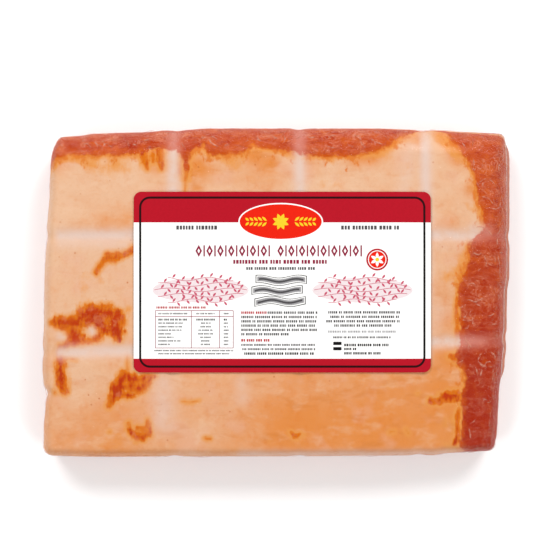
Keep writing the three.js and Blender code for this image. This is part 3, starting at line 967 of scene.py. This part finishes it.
def round_corners(length, height, corner, turns, arc_points=ARC_POINTS):
    """The points of a box's round corners, about its middle. Turn 0 is the far right corner, 1 the far left."""
    points = []
    for turn in turns:
        sx, sy = ((1, 1), (-1, 1), (-1, -1), (1, -1))[turn]
        for i in range(arc_points + 1):
            angle = math.pi / 2 * (turn + i / arc_points)
            a = sx * (length / 2 - corner) + corner * math.cos(angle)
            points.append((a, sy * (height / 2 - corner) + corner * math.sin(angle)))
    return points


def wave(x, y, reach, height, bends, start, steps):
    """A wavy line of points that reaches that far to each side of x, y."""
    shares = [i / steps for i in range(steps + 1)]
    return [(x + reach * (2 * t - 1), y + height * math.sin(t * bends * math.pi + start)) for t in shares]


class Print:
    """The label's print, as closed outlines of ink in painting order, in millimetres from the label's middle."""

    def __init__(self, chance):
        self.zones = []
        self.chance = chance

    def outline(self, ink, points):
        """Adds a closed outline, turned so that it runs anticlockwise, with its long edges divided."""
        pairs = list(zip(points, points[1:] + points[:1]))
        divided = []
        for (ax, ay), (bx, by) in pairs:
            count = math.ceil(math.hypot(bx - ax, by - ay) / GRID_STEP)
            divided += [(float(ax + (bx - ax) * i / count), float(ay + (by - ay) * i / count)) for i in range(count)]
        turns_left = sum(ax * by - bx * ay for (ax, ay), (bx, by) in pairs) > 0
        self.zones.append((ink, divided if turns_left else divided[::-1]))

    def bar(self, ink, x, y, length, height):
        """A bar from x, with y at its middle."""
        low, high = y - height / 2, y + height / 2
        self.outline(ink, [(x, low), (x + length, low), (x + length, high), (x, high)])

    def band(self, ink, line, half):
        """A band that reaches that far above and below a line of points."""
        self.outline(ink, [(a, b - half) for a, b in line] + [(a, b + half) for a, b in reversed(line)])

    def oval(self, ink, x, y, half_x, half_y, count):
        angles = [2 * math.pi * i / count for i in range(count)]
        self.outline(ink, [(x + half_x * math.cos(angle), y + half_y * math.sin(angle)) for angle in angles])

    def leaf(self, ink, x, y, length, width, turn):
        """A pointed leaf from x, y, along the way turn."""
        shares = [i / LEAF_STEPS for i in range(LEAF_STEPS + 1)]
        upper = [(length * t, width / 2 * math.sin(math.pi * t)) for t in shares]
        lower = [(a, -b) for a, b in reversed(upper[1:-1])]
        cos, sin = math.cos(turn), math.sin(turn)
        self.outline(ink, [(x + a * cos - b * sin, y + a * sin + b * cos) for a, b in upper + lower])

    def rosette(self, ink, x, y, petals, length, width):
        for petal in range(petals):
            self.leaf(ink, x, y, length, width, 2 * math.pi * (petal + 0.5) / petals)

    def marks(self, ink, x, y, length, height):
        """A run of plain small marks in groups, in the place of a line of small print."""
        end = x + length
        while x < end - height * 0.3:
            for _ in range(self.chance.integers(2, 9)):
                width = height * self.chance.uniform(0.42, 0.7)
                if x + width > end:
                    break
                self.bar(ink, x, y, width, height)
                x += width + height * 0.22
            x += height * 0.45

    def small_print(self, rows):
        for ink, start, length, middle, height in rows:
            self.marks(ink, *place_of(start, middle), length * PIXEL, height)


def draw_frame(sheet):
    """The paper, and the crimson bands at its top and bottom."""
    length, width, corner = LABEL["length"], LABEL["width"], LABEL["corner"]
    sheet.outline("paper", round_corners(length, width, corner, range(4)))
    for turns, level, side in (((0, 1), BAND_TOP, -1), ((2, 3), BAND_BOTTOM, 1)):
        ends = [(side * length / 2, level), (-side * length / 2, level)]
        sheet.outline("crimson", round_corners(length, width, corner, turns) + ends)


def draw_badge(sheet):
    """A red oval with a white rim, and in it a yellow rosette between two sprigs."""
    x, y = place_of(*BADGE_PLACE)
    half_x, half_y = BADGE_HALF
    for ink, inset in (("paper", 0), ("scarlet", BADGE_RIM)):
        sheet.oval(ink, x, y, half_x - inset, half_y - inset, 48)
    sheet.rosette("yellow", x, y, 8, 5.2, 2.4)
    for side in (-1, 1):
        for i in range(SPRIG_LEAVES):
            stalk = x + side * (SPRIG_START + SPRIG_PITCH * i)
            for up in (-1, 1):
                sheet.leaf("yellow", stalk, y + up * 0.35, 4.0 - 0.25 * i, 1.5, math.atan2(up, side * 1.1))


def draw_titles(sheet):
    """A frieze of lozenges and bars in the title's place, with lines of small marks above and below it."""
    bar_length, bar_height = FRIEZE_BAR
    for start, end in FRIEZE_RUNS:
        x, y = place_of(start, FRIEZE_ROW)
        length = (end - start) * PIXEL
        count = round(length / LOZENGE_PITCH)
        for i in range(count):
            for ink, half_x, half_y in LOZENGES:
                sheet.oval(ink, x + length * (i + 0.5) / count, y, half_x, half_y, 4)
            sheet.bar("wine", x + length * (i + 1) / count - bar_length / 2, y, bar_length, bar_height)
    sheet.small_print(TITLE_LINES)


def draw_stamp(sheet):
    """A round red stamp with a white ring and rosette."""
    x, y = place_of(*STAMP_PLACE)
    for ink, half in STAMP_RINGS:
        sheet.oval(ink, x, y, half, half, 32)
    sheet.rosette("paper", x, y, 6, 4.4, 1.9)
    sheet.oval("yellow", x, y, 1.2, 1.2, 12)


def draw_garlands(sheet):
    """Five waving stems with leaves, on a pink ground, at each side."""
    for start, end in GARLAND_RUNS:
        x, y = place_of((start + end) / 2, GARLAND_ROW)
        length = (end - start) * PIXEL
        sheet.oval("pink", x, y - 1, length / 2, 7.6, 40)
        for row in (-2, -1, 0, 1, 2):
            reach = length * (0.48 - 0.035 * row * row)
            stem = wave(x, y + STEM_PITCH * row - 0.8, reach, 1.1, 3, row, STEM_STEPS)
            sheet.band("rose", stem, 0.18)
            for i in range(2, STEM_STEPS - 1, 2):
                side = 1 if i % 4 else -1
                sheet.leaf("rose", stem[i][0], stem[i][1] + side * 0.25, 3.1, 1.3, side * 0.9)


def draw_rashers(sheet):
    """Three wavy rashers in greys, one above the other, with dark edges and a darker streak in each."""
    x, y = place_of(*RASHERS_PLACE)
    for row, shift in RASHER_SHIFTS:
        for ink, half, reach in RASHER_LAYERS:
            sheet.band(ink, wave(x + shift, y + row * RASHER_PITCH, reach, 0.9, 2.6, row, RASHER_STEPS), half)


def draw_table(sheet):
    """A small ruled table with three columns, with a line of marks above it and two below."""
    sheet.marks("crimson", *place_of(*TABLE_HEADING), 30, 1.3)
    (left, top), (right, bottom) = [place_of(*corner) for corner in TABLE_CORNERS]
    for height in (top, place_of(0, TABLE_RULES["row"])[1], bottom):
        sheet.bar("wine", left, height, right - left, RULE)
    for edge in (left, *[place_of(column, 0)[0] for column in TABLE_RULES["columns"]], right):
        sheet.bar("wine", edge - RULE / 2, (top + bottom) / 2, RULE, top - bottom)
    for row, level in enumerate(TABLE_ROWS):
        ink, height = ("black", 1.15) if row == 1 else ("grey", 0.95)
        for column, (start, longest) in enumerate(TABLE_COLUMNS):
            x, y = place_of(start, level)
            length = longest * PIXEL * (1 if row < 2 or column == 2 else sheet.chance.uniform(0.4, 0.85))
            x += (longest * PIXEL - length) / 2 if column else 0
            sheet.marks(ink, x, y, length, height)
    sheet.small_print(TABLE_LINES)


def draw_paragraphs(sheet):
    """The two columns of small marks at the right, with red starts, two black boxes and bolder lines."""
    x, y = place_of(FIRST_LINE["start"], FIRST_LINE["row"])
    red, height = FIRST_LINE["red"], FIRST_LINE["height"]
    sheet.marks("crimson", x, y, red, height)
    sheet.marks("grey", x + red, y, FIRST_LINE["length"] * PIXEL - red, height)
    sheet.small_print(PARAGRAPH_LINES)
    shape = round_corners(BLACK_BOX["length"], BLACK_BOX["height"], BLACK_BOX["corner"], range(4), 3)
    for place in BLACK_BOXES:
        x, y = place_of(*place)
        sheet.outline("black", [(x + a, y + b) for a, b in shape])


def draw_line(sheet):
    """The line round the label: black strips at the sides, joined by dark red ones over the crimson bands."""
    length, width = LABEL["length"] - 2 * LINE_INSET_X, LABEL["width"] - 2 * LINE_INSET_Y
    inner = length - 2 * LINE_WIDTH
    for side, turns, level in ((-1, (2, 3), LINE_CORNER - width / 2), (1, (0, 1), BAND_TOP)):
        strip = side * (length - LINE_WIDTH) / 2 - LINE_WIDTH / 2
        sheet.bar("black", strip, (BAND_TOP + BAND_BOTTOM) / 2, LINE_WIDTH, BAND_TOP - BAND_BOTTOM)
        outer_edge = round_corners(length, width, LINE_CORNER, turns)
        inner_edge = round_corners(inner, width - 2 * LINE_WIDTH, LINE_CORNER - LINE_WIDTH, turns)
        first, last = [[(side * sign * reach / 2, level) for reach in (length, inner)] for sign in (-1, 1)]
        sheet.outline("maroon", outer_edge + first + inner_edge[::-1] + last[::-1])


def label_print():
    sheet = Print(np.random.default_rng(PRINT_SEED))
    blocks = (draw_badge, draw_titles, draw_stamp, draw_garlands, draw_rashers, draw_table, draw_paragraphs)
    for draw in (draw_frame, *blocks, draw_line):
        draw(sheet)
    return sheet


def label_height(x, y):
    """The height of the label's underside: it follows the slab's top, and sinks a little over the grooves."""
    return top_height(x, y) + LABEL["gap"] - LABEL_SINK * groove(x, y)


def make_label():
    zones = label_print().zones
    points, outlines = [], []
    for _, outline in zones:
        outlines.append(list(range(len(points), len(points) + len(outline))))
        points += outline
    half_x, half_y = LABEL["length"] / 2 - GRID_INSET, LABEL["width"] / 2 - GRID_INSET
    for x in np.linspace(-half_x, half_x, round(2 * half_x / GRID_STEP)):
        points += [(float(x), float(y)) for y in np.linspace(-half_y, half_y, round(2 * half_y / GRID_STEP))]
    flat, _, faces, _, _, owners = delaunay_2d_cdt([Vector(point) for point in points], [], outlines, 0, 1e-4, True)
    inks = list(INKS)
    slots = [inks.index(zones[max(owner)][0]) if owner else 0 for owner in owners]
    plan = np.array([list(point) for point in flat]) + (LABEL["x"], LABEL["y"])
    under = label_height(plan[:, 0], plan[:, 1])
    both = np.concatenate([np.column_stack([plan, under + LABEL["thick"]]), np.column_stack([plan, under])])
    count = len(plan)
    edges = dict.fromkeys(edge for face in faces for edge in zip(face, face[1:] + face[:1]))
    rim = [(b, a, a + count, b + count) for a, b in edges if (b, a) not in edges]
    under_faces = [tuple(index + count for index in reversed(face)) for face in faces]
    slots += [0] * (len(under_faces) + len(rim))
    materials = [ink_material(f"label_{name}", shade) for name, shade in INKS.items()]
    return mesh_piece("paper_label", both, [*faces, *under_faces, *rim], materials, slots, smooth=False)


# --- The studio ---


def make_floor():
    paint = Paint("floor")
    shade = paint.mix(paint.noise(400), colour(250, 250, 250), colour(246, 246, 246))
    glow = {"Emission_Color": colour(255, 255, 255), "Emission_Strength": FLOOR_GLOW}
    corners = FLOOR_HALF * np.array([(-1, -1, 0), (1, -1, 0), (1, 1, 0), (-1, 1, 0)])
    floor = mesh_piece("floor", corners - SHIFT, [(0, 1, 2, 3)], [paint.finish(paint.surface(shade, 0.7, **glow))])


def make_lamp(name, angle, power):
    """A soft round lamp that shines on the slab."""
    turn = math.radians(angle)
    lamp = bpy.data.lights.new(name, "AREA")
    lamp.shape, lamp.size, lamp.energy = "DISK", LAMP_SIZE, power
    holder = place_object(name, lamp)
    holder.location = (LAMP_DISTANCE * math.cos(turn), LAMP_DISTANCE * math.sin(turn), LAMP_HEIGHT)
    holder.rotation_euler = (-holder.location).to_track_quat("-Z", "Y").to_euler()


def make_lights():
    """An even white surround, and soft lamps on all sides, which are out of the film's flat mirror."""
    world = bpy.data.worlds.new("studio")
    world.use_nodes = True
    tree = world.node_tree
    background = tree.nodes["Background"]
    background.inputs["Color"].default_value = (1.0, 1.0, 1.0, 1.0)
    seen = tree.nodes.new("ShaderNodeMapRange")
    seen.inputs["To Min"].default_value = SURROUND_LIGHT
    tree.links.new(tree.nodes.new("ShaderNodeLightPath").outputs["Is Camera Ray"], seen.inputs["Value"])
    tree.links.new(seen.outputs["Result"], background.inputs["Strength"])
    bpy.context.scene.world = world
    for name, angle, power in LAMPS:
        make_lamp(f"lamp_{name}", angle, power)
    bpy.context.scene.view_settings.view_transform = "Standard"


def make_camera():
    lens = bpy.data.cameras.new("camera")
    lens.lens = LENS
    lens.sensor_width = SENSOR
    camera = place_object("camera", lens)
    camera.location = Vector(CAMERA) * MM
    bpy.context.scene.camera = camera


# --- The scene ---

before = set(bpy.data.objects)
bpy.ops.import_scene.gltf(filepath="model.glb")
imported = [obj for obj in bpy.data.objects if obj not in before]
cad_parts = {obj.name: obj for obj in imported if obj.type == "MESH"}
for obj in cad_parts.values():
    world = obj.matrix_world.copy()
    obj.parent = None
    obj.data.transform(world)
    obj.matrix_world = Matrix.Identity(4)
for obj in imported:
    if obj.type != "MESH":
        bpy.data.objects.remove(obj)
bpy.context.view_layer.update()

# The slab's own frame lies this far from the row's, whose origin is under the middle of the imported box.
film_points = slab_surface(sealed=True)[1]
SHIFT = -(film_points.min(axis=0) + film_points.max(axis=0)) / 2 * (1, 1, 0)

make_camera()
make_floor()
make_lights()

meat = make_meat(meat_material())
film = make_film(film_material())
creases = make_creases(film, crease_glint_material())
label = make_label()

for piece in (meat, film, creases, label):
    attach(piece, "root")
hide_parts("pack")
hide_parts("pack")
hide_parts("label")
